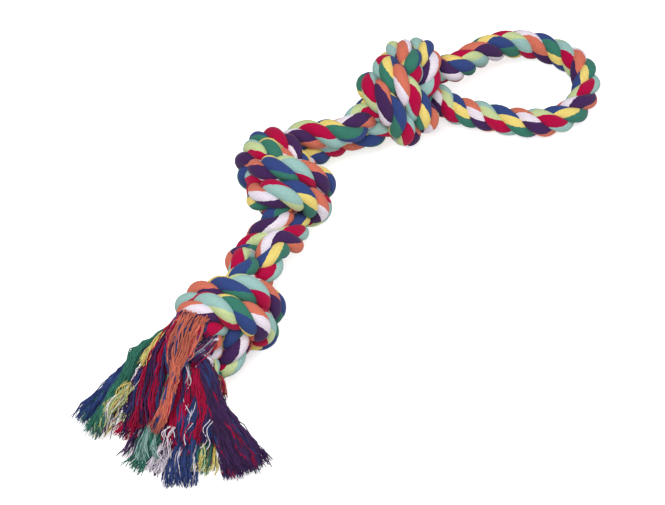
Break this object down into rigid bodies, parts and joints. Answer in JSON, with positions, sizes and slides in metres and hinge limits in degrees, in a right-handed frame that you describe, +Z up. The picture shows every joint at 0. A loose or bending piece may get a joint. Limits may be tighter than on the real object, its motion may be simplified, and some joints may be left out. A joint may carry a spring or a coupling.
{
  "type": "rope dog toy",
  "caption": "Laid cotton rope dog toy of many colours: a folded rope with a hand loop, tight doubled overhand knots and a frayed tassel, for tugging, throwing and chewing.",
  "frame": {"origin": "on the surface that the toy lies on, under the middle of its bounding box", "axes": "+X along the toy from the tassel towards the hand loop, +Z up from the surface, +Y to the left of +X seen from above"},
  "size_m": [0.5654, 0.2236, 0.0781],
  "materials": {
    "rope": "matte cotton, yarns of many colours laid together",
    "yarn_blue": "matte cotton yarn",
    "yarn_yellow": "matte cotton yarn",
    "yarn_green": "matte cotton yarn",
    "yarn_orange": "matte cotton yarn",
    "yarn_white": "matte cotton yarn",
    "yarn_purple": "matte cotton yarn",
    "yarn_mint": "matte cotton yarn",
    "yarn_lime": "matte cotton yarn",
    "yarn_red": "matte cotton yarn"
  },
  "bodies": {
    "knot_2": {"knot_2_rope_b": "rope", "knot_2_rope_a": "rope"},
    "leg_1": {"leg_1_rope_b": "rope", "leg_1_rope_a": "rope"},
    "knot_1": {"knot_1_rope_b": "rope", "knot_1_rope_a": "rope"},
    "handle": {"handle_neck_b": "rope", "handle_loop": "rope", "handle_neck_a": "rope"},
    "leg_2": {"leg_2_rope_b": "rope", "leg_2_rope_a": "rope"},
    "knot_3": {"knot_3_rope_b": "rope", "knot_3_rope_a": "rope"},
    "tassel": {"tassel_root_b": "rope", "tassel_root_a": "rope", "tuft_a_lime": "yarn_lime", "tuft_a_blue": "yarn_blue", "tuft_a_green": "yarn_green", "tuft_a_red": "yarn_red", "tuft_a_white": "yarn_white", "tuft_a_yellow": "yarn_yellow", "tuft_a_mint": "yarn_mint", "tuft_a_purple": "yarn_purple", "tuft_a_orange": "yarn_orange", "tuft_b_white": "yarn_white", "tuft_b_orange": "yarn_orange", "tuft_b_red": "yarn_red", "tuft_b_lime": "yarn_lime", "tuft_b_mint": "yarn_mint", "tuft_b_blue": "yarn_blue", "tuft_b_green": "yarn_green", "tuft_b_yellow": "yarn_yellow", "tuft_b_purple": "yarn_purple"}
  },
  "joints": [
    {"name": "leg_1_bend", "type": "hinge", "parent": "knot_2", "child": "leg_1", "pos_m": [0.04181, 0.07992, 0.031], "axis": [0, 0, 1], "range_deg": [-30, 30], "deforming": ["leg_1_rope_b", "leg_1_rope_a"]},
    {"name": "knot_1_lift", "type": "hinge", "parent": "leg_1", "child": "knot_1", "pos_m": [0.08081, 0.05842, 0.0315], "axis": [-0.3021, -0.9533, 0], "range_deg": [-10, 35], "deforming": ["leg_1_rope_b", "leg_1_rope_a"]},
    {"name": "handle_lift", "type": "hinge", "parent": "knot_1", "child": "handle", "pos_m": [0.16481, 0.03792, 0.029], "axis": [-0.8311, -0.5561, 0], "range_deg": [-15, 30], "deforming": ["handle_neck_b", "handle_neck_a"]},
    {"name": "leg_2_bend", "type": "hinge", "parent": "knot_2", "child": "leg_2", "pos_m": [-0.04519, 0.03242, 0.0365], "axis": [0, 0, 1], "range_deg": [-30, 30], "deforming": ["leg_2_rope_b", "leg_2_rope_a"]},
    {"name": "knot_3_lift", "type": "hinge", "parent": "leg_2", "child": "knot_3", "pos_m": [-0.09419, 0.02092, 0.042], "axis": [-0.423, 0.9061, 0], "range_deg": [-10, 35], "deforming": ["leg_2_rope_b", "leg_2_rope_a"]},
    {"name": "tassel_lift", "type": "hinge", "parent": "knot_3", "child": "tassel", "pos_m": [-0.18019, -0.00908, 0.042], "axis": [-0.454, 0.891, 0], "range_deg": [-5, 35], "deforming": ["tassel_root_b", "tassel_root_a", "tuft_a_lime", "tuft_a_blue", "tuft_a_green", "tuft_a_red", "tuft_a_white", "tuft_a_yellow", "tuft_a_mint", "tuft_a_purple", "tuft_a_orange", "tuft_b_white", "tuft_b_orange", "tuft_b_red", "tuft_b_lime", "tuft_b_mint", "tuft_b_blue", "tuft_b_green", "tuft_b_yellow", "tuft_b_purple"]}
  ]
}
